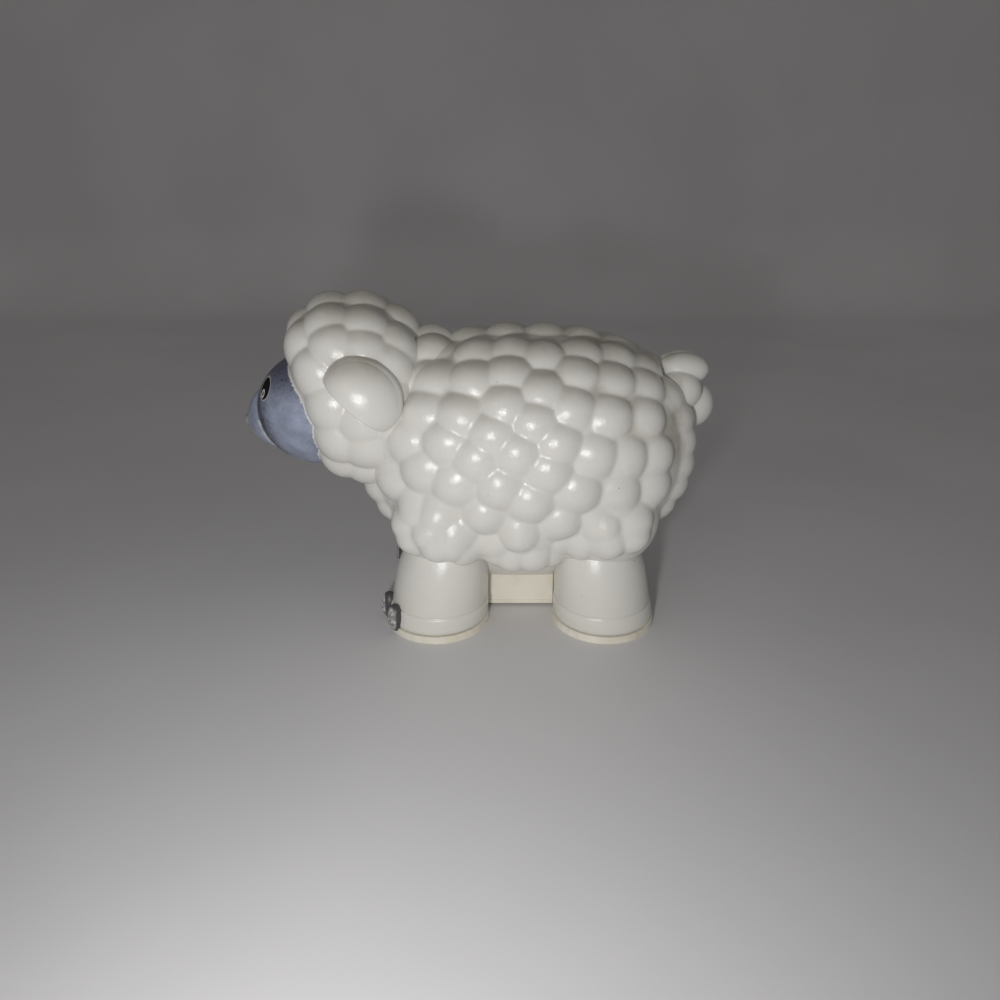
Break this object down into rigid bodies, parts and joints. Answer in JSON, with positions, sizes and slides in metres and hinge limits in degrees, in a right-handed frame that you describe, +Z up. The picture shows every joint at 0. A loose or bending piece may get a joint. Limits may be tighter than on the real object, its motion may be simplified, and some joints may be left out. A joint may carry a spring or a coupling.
{
  "type": "toy farm animal figure",
  "caption": "Standing toy sheep figure with a hollow bumpy fleece shell, smooth painted face, plugged-in ears and tail, a belly block and flat-soled feet.",
  "frame": {"origin": "centre of the bounding box in plan, on the surface that the feet stand on", "axes": "+Z up, -X towards the nose, +X towards the tail, -Y towards the sheep's left side, which faces the viewer in the picture"},
  "size_m": [0.0754, 0.0382, 0.052],
  "materials": {
    "white_vinyl": "glossy moulded soft vinyl, warm white, with a lavender-grey painted face",
    "ear_vinyl": "glossy moulded soft vinyl, warm white",
    "tail_vinyl": "glossy moulded soft vinyl, warm white",
    "yellowed_plastic": "satin hard plastic, yellowed with age",
    "sole_plastic": "satin hard plastic, yellowed with age and rubbed at the edge"
  },
  "bodies": {
    "root": {"fleece_shell": "white_vinyl", "ear_left": "ear_vinyl", "ear_right": "ear_vinyl", "tail": "tail_vinyl", "belly_plug": "yellowed_plastic", "foot_plug_front_left": "sole_plastic", "foot_plug_front_right": "sole_plastic", "foot_plug_rear_left": "sole_plastic", "foot_plug_rear_right": "sole_plastic"}
  },
  "joints": []
}
